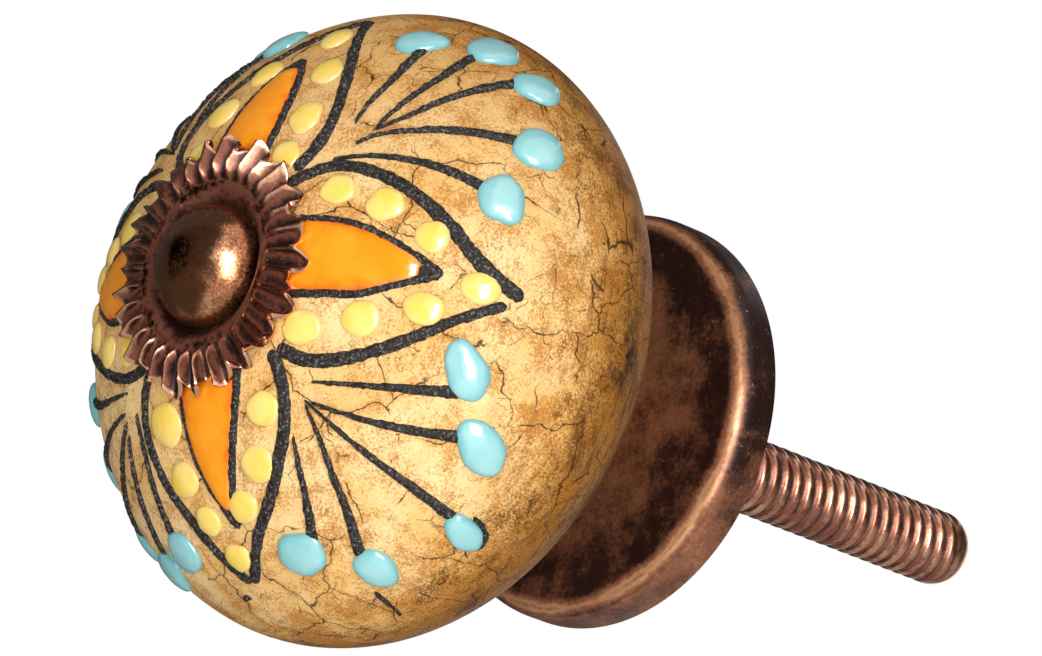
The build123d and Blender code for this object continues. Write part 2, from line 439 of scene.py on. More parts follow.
# %% Patterns in the glaze
glaze = Finish("sandy_glaze")
clouds = glaze.noise(0.2, 4.0, 0.6)
clusters = glaze.noise(0.55, 5.0, 0.65)
grain = glaze.noise(6.5, 3.0, 0.8)
dark_grain = glaze.noise(7.5, 3.0, 0.8)
soot = glaze.noise(0.36, 5.0, 0.65)
wheel_lines = glaze.noise(1.6, 4.0, 0.7, glaze.stretched((0.3, 1.0, 0.3)))
height = glaze.axis("Z")
upper = glaze.ramp(height, 2.0, 17.0)
depth_back = glaze.plus(glaze.axis("Y"), (glaze.noise(0.3, 4.0, 0.6), 6.0), (upper, 2.0))
toasted = glaze.ramp(depth_back, -25.0, -15.5)
burnt = glaze.ramp(depth_back, -20.5, -13.5)
gold_level = glaze.plus(grain, (clusters, 0.9), (toasted, 0.12))
dark_level = glaze.plus(dark_grain, (toasted, 0.11))
soot_level = glaze.plus(soot, (grain, 0.6), (toasted, 0.155))
streaks = glaze.times(toasted, glaze.ramp(wheel_lines, 0.5, 0.66, 0.0, 0.75))
print("glaze pattern nodes:", len(glaze.tree.nodes))

# %% Glaze colour
cream = glaze.layer(tint(246, 210, 152), clouds, 0.36, 0.64, 1.0, tint(236, 189, 119))
tanned = glaze.layer(cream, height, -2.0, 14.0, 0.55, tint(208, 154, 84))
warm = glaze.blend(toasted, tanned, tint(214, 158, 80))
brown = glaze.blend(burnt, warm, tint(156, 113, 64))
golden = glaze.layer(brown, gold_level, 0.88, 1.12, 0.8, tint(178, 112, 36))
gritty = glaze.layer(golden, dark_level, 0.55, 0.76, 0.8, tint(84, 50, 20))
sooty = glaze.layer(gritty, soot_level, 0.91, 1.12, 0.8, tint(88, 52, 22))
streaked = glaze.blend(streaks, sooty, tint(84, 50, 22))
print("glaze nodes with colour:", len(glaze.tree.nodes))

# %% [markdown]
# ## Cracks
# Thin dark cracks branch over the glaze. A Voronoi texture that gives the distance to its cells' edges draws
# such a net. On plain coordinates the ball would cut some cell walls lengthwise and show blots, so a coarse
# and a fine net are laid on a flat map of the front, which the body's vertices carry as an attribute. The map
# wanders a little, so that no line is straight, and a broad noise hides most of each net. A third net,
# squeezed along the axis, gives the cracks that run round the widest circle. The open cracks have a soft
# stain along them.

# %% Cracks in the glaze
OPEN_CELL = 5.0
OPEN_WIDTH = 0.075
STAIN_WIDTH = 0.5
FINE_CELL = 2.3
RING_CELL = 2.4
FINE_WIDTH = 0.05

flat_map = glaze.attribute("map", "Vector")
wander = glaze.wandering(0.9, 1.1, glaze.wandering(0.22, 3.0, flat_map))
ring_place = glaze.stretched((0.32, 1.0, 0.32), glaze.wandering(0.5, 1.6, glaze.place))
open_parts = glaze.noise(0.2, 3.0)
fine_parts = glaze.ramp(glaze.noise(0.33, 3.0), 0.54, 0.62, 0.0, 0.85)
behind = glaze.ramp(glaze.axis("Y"), -28.0, -23.5)
ring_parts = glaze.times(glaze.ramp(glaze.noise(0.5, 3.0), 0.52, 0.6), behind)

open_crack = glaze.cracks(OPEN_CELL, OPEN_WIDTH, wander, "2D")
open_crack = glaze.times(open_crack, glaze.ramp(open_parts, 0.45, 0.51))
fine_crack = glaze.times(glaze.cracks(FINE_CELL, FINE_WIDTH, wander, "2D"), fine_parts)
ring_crack = glaze.times(glaze.cracks(RING_CELL, FINE_WIDTH, ring_place, "3D"), ring_parts)
crack = glaze.combine("MAXIMUM", glaze.combine("MAXIMUM", open_crack, fine_crack), ring_crack)
stained_parts = glaze.ramp(open_parts, 0.46, 0.6, 0.0, 0.22)
stain = glaze.times(glaze.cracks(OPEN_CELL, STAIN_WIDTH, wander, "2D"), stained_parts)
stained = glaze.blend(stain, streaked, tint(150, 92, 40))
cracked = glaze.blend(glaze.times(crack, 0.9), stained, tint(54, 30, 16))
print("glaze nodes with cracks:", len(glaze.tree.nodes))

# %% [markdown]
# ## Smudge and gloss
# At the right the kiln has left a black, ragged smudge. Its share is 1 at one spot and falls off with the
# distance from it, broken up by a noise. The glaze itself is satin, so its gloss is weak and rough. Grains
# stand out of it and cracks dent it, which a bump shows without any more vertices.

# %% Kiln smudge and gloss of the glaze
SMUDGE_SPOT = (17.75, -19.1, -5.6)
SMUDGE_REACH = 3.4

ragged = glaze.ramp(glaze.noise(0.9, 4.0, 0.65), 0.40, 0.6)
smudged = glaze.blend(glaze.times(glaze.near(SMUDGE_SPOT, SMUDGE_REACH), ragged), cracked, tint(36, 22, 14))
glaze.bump(glaze.combine("SUBTRACT", glaze.times(grain, 0.4), crack), 0.04, 0.6)
glaze.shade(
    Base_Color=smudged,
    Roughness=glaze.ramp(grain, 0.3, 0.7, 0.38, 0.58),
    Specular_IOR_Level=0.06,
)
print("glaze nodes in all:", len(glaze.tree.nodes))

# %% [markdown]
# ## The ceramic body
# The body is a flattened ball thrown on a wheel: a full front, a rounder back that draws in to a short neck,
# and a hole for the bolt. A wheel-thrown shape is what spin is for: half of the cross-section is drawn as a
# chain of edges and turned about the axis. The front is a superellipse, a little leaner than an ellipse.

# %% Outline of the ceramic
FRONT_DEPTH = 14.0
FRONT_POWER = 1.88
BACK_DEPTH = 12.6
NECK_RADIUS = 3.9
BORE_RADIUS = 2.73
SEAT_RADIUS = 3.9
SEAT_MOUTH_RADIUS = 4.95
SEAT_SINK = 0.54
FRONT_STEPS = 100
BACK_STEPS = 40


def front_profile(share):
    """Radius and depth before the widest circle, from 0 at that circle to 1 at the front pole."""
    angle = share * math.pi / 2
    radius = CERAMIC_RADIUS * math.cos(angle) ** (2 / FRONT_POWER)
    depth = FRONT_DEPTH * math.sin(angle) ** (2 / FRONT_POWER)
    return radius, depth


def ceramic_outline():
    """The half section, from the front of the bore round the outside to the back of the bore."""
    seat = ceramic_low.y + SEAT_SINK
    outline = [(BORE_RADIUS, seat), (SEAT_RADIUS, seat), (SEAT_MOUTH_RADIUS, ceramic_low.y)]
    for step in range(FRONT_STEPS, 0, -1):
        radius, depth = front_profile(step / FRONT_STEPS)
        if radius > SEAT_MOUTH_RADIUS:
            outline.append((radius, EQUATOR - depth))
    neck_share = NECK_RADIUS / CERAMIC_RADIUS
    for step in range(BACK_STEPS + 1):
        angle = step / BACK_STEPS * math.acos(neck_share)
        outline.append((CERAMIC_RADIUS * math.cos(angle), EQUATOR + BACK_DEPTH * math.sin(angle)))
    outline.append((NECK_RADIUS, BASE_FRONT))
    outline.append((BORE_RADIUS, BASE_FRONT))
    return outline


print("points in the ceramic's outline:", len(ceramic_outline()))

# %% [markdown]
# ## The painter's flat map
# The decoration is drawn on a flat map of the front: the middle of the knob is the map's middle, x is right,
# z is up, and a distance from the middle is measured along the curved glaze. One function lifts a map point
# onto the glaze and gives the direction straight out of it, so each stroke and drop can be placed by two
# short numbers and still hugs the ball.

# %% From the map to the glaze
MAP_STEPS = 900

radii, depths = zip(*(front_profile(1 - step / MAP_STEPS) for step in range(MAP_STEPS + 1)))
reaches = [0.0]
for step in range(MAP_STEPS):
    run = math.hypot(radii[step + 1] - radii[step], depths[step + 1] - depths[step])
    reaches.append(reaches[-1] + run)
EQUATOR_REACH = reaches[-1]


def row_before(values, value):
    """The map's last row that doesn't go past a value."""
    return min(max(bisect.bisect_right(values, value), 1), MAP_STEPS) - 1


def section_at(distance):
    """Radius, place along the axis, and outward slope of the glaze at a distance along it from the pole."""
    if distance >= EQUATOR_REACH:
        angle = (distance - EQUATOR_REACH) / BACK_DEPTH
        radius = CERAMIC_RADIUS * math.cos(angle)
        y = EQUATOR + BACK_DEPTH * math.sin(angle)
        return radius, y, math.cos(angle) / CERAMIC_RADIUS, -math.sin(angle) / BACK_DEPTH
    row = row_before(reaches, distance)
    share = (distance - reaches[row]) / (reaches[row + 1] - reaches[row])
    radius = radii[row] + share * (radii[row + 1] - radii[row])
    depth = depths[row] + share * (depths[row + 1] - depths[row])
    outward = (radius / CERAMIC_RADIUS) ** (FRONT_POWER - 1) / CERAMIC_RADIUS
    forward = (depth / FRONT_DEPTH) ** (FRONT_POWER - 1) / FRONT_DEPTH
    return radius, EQUATOR - depth, outward, forward


def on_glaze(x, z, lift=0.0):
    """The point of the glaze under a map point, in metres, and the direction straight out of it."""
    radius, y, outward, forward = section_at(math.hypot(x, z))
    angle = math.atan2(z, x)
    side = Vector((math.cos(angle), 0, math.sin(angle)))
    normal = (side * outward + Vector((0, -forward, 0))).normalized()
    return (side * radius + Vector((0, y, 0)) + normal * lift) * MM, normal


def distance_at(radius, y):
    """The distance from the front pole along the glaze, for a point of the section."""
    if y >= EQUATOR:
        return EQUATOR_REACH + BACK_DEPTH * math.asin(min(1.0, (y - EQUATOR) / BACK_DEPTH))
    return reaches[row_before(radii, radius)]


print(f"from the pole to the widest circle along the glaze: {EQUATOR_REACH:.2f} mm")

# %% [markdown]
# ## Spin the body
# The outline becomes a chain of edges that is turned about the axis. Each vertex then gets its place on the
# flat map, for the cracks, and is pushed in by a few hundredths of a millimetre, because no hand-made ball is
# perfect.

# %% Spin the ceramic
TURN_STEPS = 256
HAND_UNEVENNESS = 0.05
HOLLOWS_PER_MM = 0.22


def turned(outline, steps, closed=True):
    """A bmesh spun about the knob's axis from (radius, y) points in millimetres."""
    mesh = bmesh.new()
    chain = [mesh.verts.new((radius * MM, y * MM, 0)) for radius, y in outline]
    pairs = list(zip(chain, chain[1:]))
    if closed:
        pairs.append((chain[-1], chain[0]))
    edges = [mesh.edges.new(pair) for pair in pairs]
    bmesh.ops.spin(
        mesh, geom=chain + edges, cent=(0, 0, 0), axis=(0, 1, 0), angle=math.tau, steps=steps, use_merge=True
    )
    return mesh


body = turned(ceramic_outline(), TURN_STEPS)
flat_place = body.verts.layers.float_vector.new("map")
for vertex in body.verts:
    from_axis = math.hypot(vertex.co.x, vertex.co.z)
    distance = distance_at(from_axis / MM, vertex.co.y / MM)
    vertex[flat_place] = Vector((vertex.co.x, vertex.co.z, 0)) * distance / from_axis
    if from_axis > SEAT_MOUTH_RADIUS * MM:
        hollow = 0.5 + 0.5 * noise.noise(vertex.co / MM * HOLLOWS_PER_MM)
        inward = Vector((-vertex.co.x, middle.y * MM - vertex.co.y, -vertex.co.z)).normalized()
        vertex.co += inward * hollow * HAND_UNEVENNESS * MM
make_piece("glazed_body", body, glaze.material, "ceramic_knob")

# %% [markdown]
# ## Smooth lines on the map
# A brush line is given by a few points. A Bezier curve with automatic handles passes through them smoothly,
# which is how such a line would be drawn in the editor too. Turned into a mesh, it gives the points between,
# and these are spaced evenly for the stroke.

# %% Points along a smooth line
LINE_SPACING = 0.18
CURVE_STEPS = 24
SHORTEST_PART = 1e-9
FEWEST_PARTS = 4


def smooth_line(points):
    """Even points along a smooth curve through a few map points."""
    curve = bpy.data.curves.new("brush_line", "CURVE")
    curve.dimensions = "2D"
    curve.resolution_u = CURVE_STEPS
    spline = curve.splines.new("BEZIER")
    spline.bezier_points.add(len(points) - 1)
    for handle, (x, z) in zip(spline.bezier_points, points):
        handle.co = (x, z, 0)
        handle.handle_left_type = "AUTO"
        handle.handle_right_type = "AUTO"
    holder = add_object("brush_line", curve)
    bpy.context.view_layer.update()
    drawn = bpy.data.meshes.new_from_object(holder)
    fine = [Vector((vertex.co.x, vertex.co.y)) for vertex in drawn.vertices]
    bpy.data.objects.remove(holder)
    bpy.data.curves.remove(curve)
    bpy.data.meshes.remove(drawn)
    return even_points(fine)


def even_points(fine):
    """The same line with its points at even distances."""
    lengths = [0.0]
    for before, after in zip(fine, fine[1:]):
        lengths.append(lengths[-1] + (after - before).length)
    count = max(FEWEST_PARTS, round(lengths[-1] / LINE_SPACING))
    spaced = []
    piece = 0
    for index in range(count + 1):
        target = lengths[-1] * index / count
        while piece < len(fine) - 2 and lengths[piece + 1] < target:
            piece += 1
        run = max(lengths[piece + 1] - lengths[piece], SHORTEST_PART)
        spaced.append(fine[piece].lerp(fine[piece + 1], (target - lengths[piece]) / run))
    return spaced


print("points on a 10 mm line:", len(smooth_line([(0, 0), (5, 1), (10, 0)])))

# %% [markdown]
# ## Dark enamel lines
# The outlines and stems are a dark, gritty enamel trailed on with a fine nozzle: slightly raised, lumpy at
# the edges, charcoal with tiny pale grains. A stroke is a small ring extruded from point to point along its
# line, flattened on the glaze, with its ends drawn in.

# %% Line material
charcoal = Finish("trailed_charcoal")
line_grain = charcoal.noise(4.5, 4.0, 0.7)
pale_grain = charcoal.ramp(charcoal.noise(5.5, 3.0, 0.75), 0.53, 0.66, 0.0, 0.75)
line_tone = charcoal.blend(charcoal.ramp(line_grain, 0.35, 0.65), tint(20, 17, 16), tint(54, 49, 46))
charcoal.shade(
    Base_Color=charcoal.blend(pale_grain, line_tone, tint(140, 133, 124)),
    Roughness=charcoal.ramp(line_grain, 0.3, 0.7, 0.45, 0.7),
    Specular_IOR_Level=0.25,
)
charcoal.bump(line_grain, 0.09, 0.9)
print("line nodes:", len(charcoal.tree.nodes))

# %% Stroke helper
RING_SIDES = 12
LINE_HEIGHT = 0.2
LINE_SINK = 0.05
LINE_UNEVENNESS = 0.16
UNEVEN_PER_MM = 1.1
LEAST_END = 0.06
NOISE_REACH = 100


def pour(mesh, into):
    """Adds a bmesh to another one and frees it."""
    data = as_mesh("poured", mesh)
    into.from_mesh(data)
    bpy.data.meshes.remove(data)


def stroke_frames(line, width_from, width_to):
    """One matrix for each point of a line: across the stroke, out of the glaze, along it, and its place."""
    frames = []
    run = LINE_SPACING * (len(line) - 1)
    shift = random.uniform(0, NOISE_REACH)
    for index, spot in enumerate(line):
        along = run * index / (len(line) - 1)
        half = 0.5 * (width_from + (width_to - width_from) * along / run)
        half *= 1 + LINE_UNEVENNESS * noise.noise(Vector((along * UNEVEN_PER_MM + shift, shift, 0)))
        to_end = min(along, run - along)
        drawn_in = math.sqrt(max(LEAST_END, 1 - max(0.0, 1 - to_end / half) ** 2))
        point, normal = on_glaze(spot.x, spot.y, -LINE_SINK)
        before, _ = on_glaze(*line[max(index - 1, 0)])
        after, _ = on_glaze(*line[min(index + 1, len(line) - 1)])
        ahead = (after - before).normalized()
        side = ahead.cross(normal).normalized()
        matrix = Matrix.Identity(4)
        matrix.col[0].xyz = side * half * drawn_in * MM
        matrix.col[1].xyz = normal * (LINE_HEIGHT + LINE_SINK) * drawn_in * MM
        matrix.col[2].xyz = ahead * MM
        matrix.col[3].xyz = point
        frames.append(matrix)
    return frames


def add_stroke(strokes, points, width_from, width_to):
    """Extrudes a ring along a smooth line, closes its ends, and adds it to the other strokes."""
    frames = stroke_frames(smooth_line(points), width_from, width_to)
    mesh = bmesh.new()
    bmesh.ops.create_circle(mesh, segments=RING_SIDES, radius=1.0, matrix=frames[0])
    edges = list(mesh.edges)
    bmesh.ops.edgeloop_fill(mesh, edges=edges)
    for before, after in zip(frames, frames[1:]):
        grown = bmesh.ops.extrude_edge_only(mesh, edges=edges)["geom"]
        ring = {part for part in grown if isinstance(part, bmesh.types.BMVert)}
        grown_edges = [part for part in grown if isinstance(part, bmesh.types.BMEdge)]
        edges = [edge for edge in grown_edges if ring.issuperset(edge.verts)]
        bmesh.ops.transform(mesh, matrix=after @ before.inverted(), verts=list(ring))
    bmesh.ops.edgeloop_fill(mesh, edges=edges)
    bmesh.ops.recalc_face_normals(mesh, faces=mesh.faces)
    pour(mesh, strokes)


strokes = bmesh.new()
print("a stroke has", RING_SIDES, "sides")

# %% [markdown]
# ## Petal outlines
# Four petals grow from under the washer, each with an outer outline of two lines that meet in a point, and an
# inner outline round its orange heart. Each petal is drawn freehand, so no two are alike. The hidden petal at
# the left is partly the right petal turned half round.

# %% Outline strokes
petal_lines = (
    ((5.2, 3.5), (6.85, 4.1), (8.2, 4.45), (9.6, 4.35), (11.7, 3.5), (13.6, 2.2), (15.79, -0.18),
     (17.0, -2.0), (18.36, -3.67), (19.65, -4.95)),
    ((4.8, -6.1), (6.39, -7.15), (8.21, -7.53), (10.94, -7.38), (13.36, -6.85), (15.79, -6.09),
     (18.67, -5.33)),
    ((6.1, 4.6), (7.3, 6.1), (7.91, 8.0), (7.91, 10.27), (7.61, 12.55), (7.08, 14.52),
     (6.47, 16.64), (5.94, 18.76)),
    ((-3.4, 7.3), (-4.3, 8.6), (-4.1, 10.5), (-1.5, 13.5), (1.09, 15.58), (3.36, 17.09), (5.94, 18.7)),
    ((-5.5, -4.8), (-6.94, -6.85), (-7.32, -8.97), (-7.02, -11.55), (-6.18, -13.82),
     (-5.27, -16.55), (-4.21, -18.82)),
    ((4.4, -6.2), (4.65, -8.21), (4.12, -10.48), (2.91, -12.45), (1.39, -14.27), (-1.18, -16.39),
     (-3.9, -18.9)),
    ((-5.6, -4.5), (-7.7, -4.58), (-9.5, -4.1), (-11.3, -3.2), (-13.15, -2.0), (-14.67, -0.94), (-17.0, 1.3),
     (-19.2, 3.7)),
    ((-4.4, 6.3), (-6.1, 7.4), (-8.4, 7.8), (-11.0, 7.6), (-13.7, 6.9), (-16.3, 5.6), (-19.3, 3.6)),
)
heart_lines = (
    ((6.4, 1.3), (7.76, 1.03), (10.03, 0.42), (11.7, -0.48), (13.36, -1.7), (15.2, -3.3)),
    ((5.6, -3.1), (7.91, -3.45), (10.33, -3.82), (12.45, -3.55), (15.1, -3.25)),
    ((3.7, 6.3), (4.1, 8.0), (4.3, 10.0), (4.2, 12.0), (3.45, 14.3)),
    ((-0.1, 7.4), (0.3, 9.3), (1.2, 11.4), (2.5, 13.1), (3.5, 14.2)),
    ((-2.6, -6.3), (-2.95, -7.6), (-3.2, -9.88), (-3.0, -12.15), (-2.5, -14.2), (-2.15, -15.5)),
    ((1.95, -6.4), (1.5, -7.7), (0.25, -10.33), (-0.8, -12.3), (-1.7, -14.1), (-2.1, -15.4)),
    ((-6.6, -0.75), (-8.3, -0.6), (-9.97, -0.35), (-11.6, 0.73), (-13.3, 2.4)),
    ((-6.4, 4.0), (-8.4, 4.1), (-10.5, 3.9), (-12.2, 3.2), (-13.3, 2.3)),
)
petal_widths = (
    (0.72, 0.95), (0.9, 0.62), (0.85, 0.66), (0.6, 0.5),
    (0.7, 0.78), (0.9, 0.7), (0.7, 0.6), (0.7, 0.6),
)
HEART_LINE = 0.62
HEART_TIP_FILL = 0.75
HEART_TIP_WIDTH = 1.0

for points, (width_from, width_to) in zip(petal_lines, petal_widths):
    add_stroke(strokes, points, width_from, width_to)
for points in heart_lines:
    add_stroke(strokes, points, HEART_LINE, HEART_LINE)
for upper, lower in zip(heart_lines[0::2], heart_lines[1::2]):
    before_tip = Vector(upper[-2]).lerp(Vector(lower[-2]), 0.5)
    at_tip = Vector(upper[-1]).lerp(Vector(lower[-1]), 0.5)
    fill_start = at_tip.lerp(before_tip, HEART_TIP_FILL)
    add_stroke(strokes, (fill_start, at_tip), HEART_TIP_WIDTH, HEART_LINE)
print("petal strokes:", len(petal_lines) + len(heart_lines))

# %% [markdown]
# ## Sprays between the petals
# Between two petals, five stems fan out from one spot. Each stem starts as thin as a hair, swells outwards
# and ends in a turquoise drop. Three sprays are drawn from the photograph. The fourth is hidden behind the
# bolt, so the second one is turned half round for it. Two hidden stems of the third are guessed from the
# first. Three short stray strokes near the edge are drawn too, and the whole drawing is made lumpy at the
# end.

# %% Stem strokes
STEM_START = 0.16
STEM_END = 0.76
STEM_INTO_DROP = 0.55

right_spray = (
    ((9.42, 7.39), (10.03, 9.21), (10.94, 11.33), (11.62, 14.06)),
    ((10.79, 6.94), (12.15, 9.06), (13.67, 11.33), (14.95, 14.06)),
    ((10.64, 6.79), (12.45, 7.77), (14.73, 9.52), (17.9, 11.85)),
    ((9.73, 5.88), (10.94, 6.41), (13.21, 6.71), (15.79, 6.79), (18.8, 6.56)),
    ((8.52, 4.89), (10.03, 4.97), (12.45, 4.67), (14.88, 3.98), (17.5, 2.7)),
)
lower_spray = (
    ((6.55, -8.52), (9.27, -9.2), (12.0, -9.88), (14.75, -10.5)),
    ((6.24, -9.65), (8.21, -10.79), (10.94, -12.08), (14.5, -13.35)),
    ((5.86, -9.42), (7.61, -11.85), (9.42, -14.27), (10.94, -16.39), (12.15, -18.4)),
    ((5.86, -9.73), (6.09, -11.7), (6.09, -13.97), (6.0, -16.2), (5.35, -18.9)),
    ((4.5, -11.24), (4.12, -13.21), (3.67, -15.18), (2.8, -17.3)),
)
left_spray = (
    ((-7.92, -6.7), (-8.3, -9.42), (-8.83, -11.7), (-9.21, -14.0)),
    ((-9.7, -7.6), (-11.0, -10.5), (-11.9, -12.9), (-12.5, -14.7)),
    ((-9.5, -6.85), (-11.3, -8.06), (-13.6, -9.7), (-17.4, -11.9)),
    ((-9.5, -6.3), (-12.1, -6.4), (-14.8, -6.7), (-19.0, -6.9)),
    ((-8.6, -5.3), (-11.0, -4.9), (-13.6, -4.4), (-17.0, -3.0)),
)
stray_strokes = (
    (((4.3, -22.0), (4.45, -23.2), (4.3, -24.6)), 0.24, 0.14),
    (((-6.2, -19.7), (-5.88, -19.6), (-5.6, -19.8)), 0.5, 0.4),
    (((13.3, -18.7), (13.6, -19.7), (13.2, -20.8), (12.3, -21.2)), 0.3, 0.36),
)
HALF_TURN = math.radians(178.4)
LUMPS = ((0.045, 2.0), (0.07, 5.0))


def map_turned(points):
    """Map points turned about the map's middle, from the second spray to the hidden fourth."""
    cosine, sine = math.cos(HALF_TURN), math.sin(HALF_TURN)
    return [(x * cosine - z * sine, x * sine + z * cosine) for x, z in points]


def into_drop(stem):
    """A stem whose end runs on a little, under its drop."""
    (before_x, before_z), (end_x, end_z) = stem[-2:]
    reach_on = STEM_INTO_DROP / math.hypot(end_x - before_x, end_z - before_z)
    return (*stem[:-1], (end_x + reach_on * (end_x - before_x), end_z + reach_on * (end_z - before_z)))


upper_spray = [map_turned(stem) for stem in lower_spray]
for stem in (*right_spray, *lower_spray, *left_spray, *upper_spray):
    add_stroke(strokes, into_drop(stem), STEM_START, STEM_END)
for points, width_from, width_to in stray_strokes:
    add_stroke(strokes, points, width_from, width_to)

for vertex in strokes.verts:
    spot = vertex.co / MM
    for size, per_mm in LUMPS:
        vertex.co += size * MM * noise.noise_vector(spot * per_mm)
make_piece("dark_lines", strokes, charcoal.material)

# %% [markdown]
# ## Raised enamel
# Orange, yellow and turquoise are thick glossy enamel that has flowed into smooth pillows when it was fired.
# The thin edge shows a little of what is under it. Each drop's vertices carry an attribute, thick, from 0 at
# the edge to 1 on top, which the finish reads to deepen the colour where the enamel is deep.

# %% Enamel materials
ENAMEL_IOR = 1.85


def enamel(name, thin_tint, deep_tint, patch_tint):
    """A glossy fired enamel in three close tints."""
    finish = Finish(name)
    ripples = finish.noise(0.9)
    deep = finish.ramp(finish.combine("ADD", finish.attribute("thick"), ripples), 0.6, 1.35)
    patched = finish.layer(deep_tint, finish.noise(0.55), 0.4, 0.68, 0.6, patch_tint)
    finish.shade(
        Base_Color=finish.blend(deep, thin_tint, patched),
        Roughness=finish.ramp(finish.noise(2.0), 0.3, 0.7, 0.04, 0.1),
        IOR=ENAMEL_IOR,
    )
    finish.bump(ripples, 0.09, 0.5)
    return finish.material


orange_enamel = enamel("fired_orange", tint(236, 92, 16), tint(253, 152, 24), tint(255, 168, 40))
yellow_enamel = enamel("fired_yellow", tint(242, 208, 128), tint(252, 212, 94), tint(254, 228, 140))
turquoise_enamel = enamel("fired_turquoise", tint(118, 186, 192), tint(146, 203, 204), tint(166, 214, 212))
print("enamels:", orange_enamel.name, yellow_enamel.name, turquoise_enamel.name)

# %% [markdown]
# ## Orange hearts
# Each heart fills the space between its two inner lines, like a leaf. A ball with its poles at the leaf's two
# ends is pressed into that shape: the place along the leaf picks a point on each line, and the place round
# the ball says how far between the lines and how high above the glaze the vertex goes.

# %% Press balls into leaves
LEAF_RISE = 0.36
LEAF_SHARE = 0.88
LEAF_SIDES = 40
LEAF_RINGS = 36
LEAF_FULLNESS = 3.2
LEAF_ROUNDNESS = 0.7
DROP_SINK = 0.12


def clamp(value, low=0.0, high=1.0):
    """A value kept between two others."""
    return min(max(value, low), high)


def point_along(line, share):
    """The point at a share of a line's even points."""
    spot = clamp(share) * (len(line) - 1)
    index = min(int(spot), len(line) - 2)
    return line[index].lerp(line[index + 1], spot - index)


def add_leaf(mesh, thick, first_points, second_points):
    """A closed leaf-shaped pillow on the glaze between two lines."""
    first, second = smooth_line(first_points), smooth_line(second_points)
    poles_along_x = Matrix.Rotation(math.pi / 2, 4, "Y")
    ball = bmesh.ops.create_uvsphere(
        mesh, u_segments=LEAF_SIDES, v_segments=LEAF_RINGS, radius=1.0, matrix=poles_along_x
    )
    for vertex in ball["verts"]:
        x, y, z = vertex.co
        share = 1 - math.acos(clamp(x, -1.0)) / math.pi
        ring = max(math.hypot(y, z), NEAR_ZERO)
        across, up = y / ring, z / ring
        along = share * LEAF_SHARE
        spot = point_along(first, along).lerp(point_along(second, along), 0.5 + 0.5 * across)
        pillow = min(1.0, LEAF_FULLNESS * math.sqrt(max(share * (1 - share), 0.0)))
        lift = LEAF_RISE * pillow * max(up, 0.0) ** LEAF_ROUNDNESS + DROP_SINK * min(up, 0.0)
        vertex.co, _ = on_glaze(spot.x, spot.y, lift)
        vertex[thick] = max(up, 0.0) * pillow


hearts = bmesh.new()
heart_thick = hearts.verts.layers.float.new("thick")
for first_points, second_points in zip(heart_lines[0::2], heart_lines[1::2]):
    add_leaf(hearts, heart_thick, first_points, second_points)
make_piece("orange_hearts", hearts, orange_enamel, "orange_petals")

# %% [markdown]
# ## Yellow and turquoise drops
# A drop is a ball pressed flat: its lower half sinks a little into the glaze and its upper half is a low
# dome. Drops put on by hand are never quite round, so each outline gets its own gentle waves.

# %% Press balls into drops
DROP_WAVES = 0.07
TAIL_REACH = 0.2
TAIL_SHARPNESS = 6
LEAST_WAVE = 0.3
DROP_SIDES = 36
DROP_RINGS = 20
DROP_ROUNDNESS = 0.8


def add_drop(drops, x, z, wide, high, rise, tail=None):
    """A closed drop on the glaze, wide and high as measured on the map, with a short tail if it has one."""
    waves = []
    for count in (2, 3, 5):
        waves.append((count, random.uniform(0, math.tau), random.uniform(LEAST_WAVE, 1.0) * DROP_WAVES))
    mesh = bmesh.new()
    thick = mesh.verts.layers.float.new("thick")
    bmesh.ops.create_uvsphere(mesh, u_segments=DROP_SIDES, v_segments=DROP_RINGS, radius=1.0)
    for vertex in mesh.verts:
        turn = math.atan2(vertex.co.y, vertex.co.x)
        wavy = 1 + sum(size * math.cos(count * turn + start) / count ** 0.5 for count, start, size in waves)
        if tail is not None:
            wavy += TAIL_REACH * max(0.0, math.cos(turn - math.radians(tail))) ** TAIL_SHARPNESS
        up = vertex.co.z
        lift = rise * up ** DROP_ROUNDNESS if up > 0 else DROP_SINK * up
        spot_x = x + 0.5 * wide * wavy * vertex.co.x
        spot_z = z + 0.5 * high * wavy * vertex.co.y
        vertex[thick] = max(up, 0.0)
        vertex.co, _ = on_glaze(spot_x, spot_z, lift)
    pour(mesh, drops)


YELLOW_RISE = 0.34
yellow_drops = (
    (9.1, 2.8, 2.1, 2.0), (12.0, 1.5, 2.3, 2.2), (14.75, -0.8, 2.1, 2.1), (17.3, -4.2, 2.4, 2.1),
    (6.6, -5.3, 2.4, 2.2), (10.25, -5.4, 2.4, 2.2), (13.95, -5.25, 2.4, 2.1),
    (4.9, 16.35, 2.3, 2.3), (6.15, 12.4, 2.2, 2.3), (6.0, 8.5, 2.2, 2.4), (5.3, 5.7, 2.0, 2.2),
    (0.95, 13.76, 2.4, 2.2), (-1.3, 11.0, 2.5, 2.3), (-1.9, 7.9, 2.3, 2.2),
    (-5.05, -8.29, 3.0, 2.7), (-5.05, -11.7, 2.6, 2.2), (-4.5, -14.42, 2.1, 1.9), (-3.7, -17.08, 2.2, 1.9),
    (-1.0, -14.38, 2.4, 2.0), (1.4, -12.3, 2.4, 2.3), (2.98, -9.35, 2.3, 2.1),
    (-7.7, -2.95, 2.3, 1.9), (-10.85, -1.95, 2.3, 2.0), (-13.75, 0.1, 2.2, 2.1), (-17.0, 2.9, 2.2, 2.0),
    (-8.6, 5.35, 2.6, 2.2), (-11.8, 5.1, 2.4, 2.1), (-14.6, 4.5, 2.2, 2.0),
)
yellow = bmesh.new()
for x, z, wide, high in yellow_drops:
    add_drop(yellow, x, z, wide, high, YELLOW_RISE)
make_piece("yellow_drops", yellow, yellow_enamel, "yellow_dots")

# %% Turquoise drops
TURQUOISE_RISE = 0.5

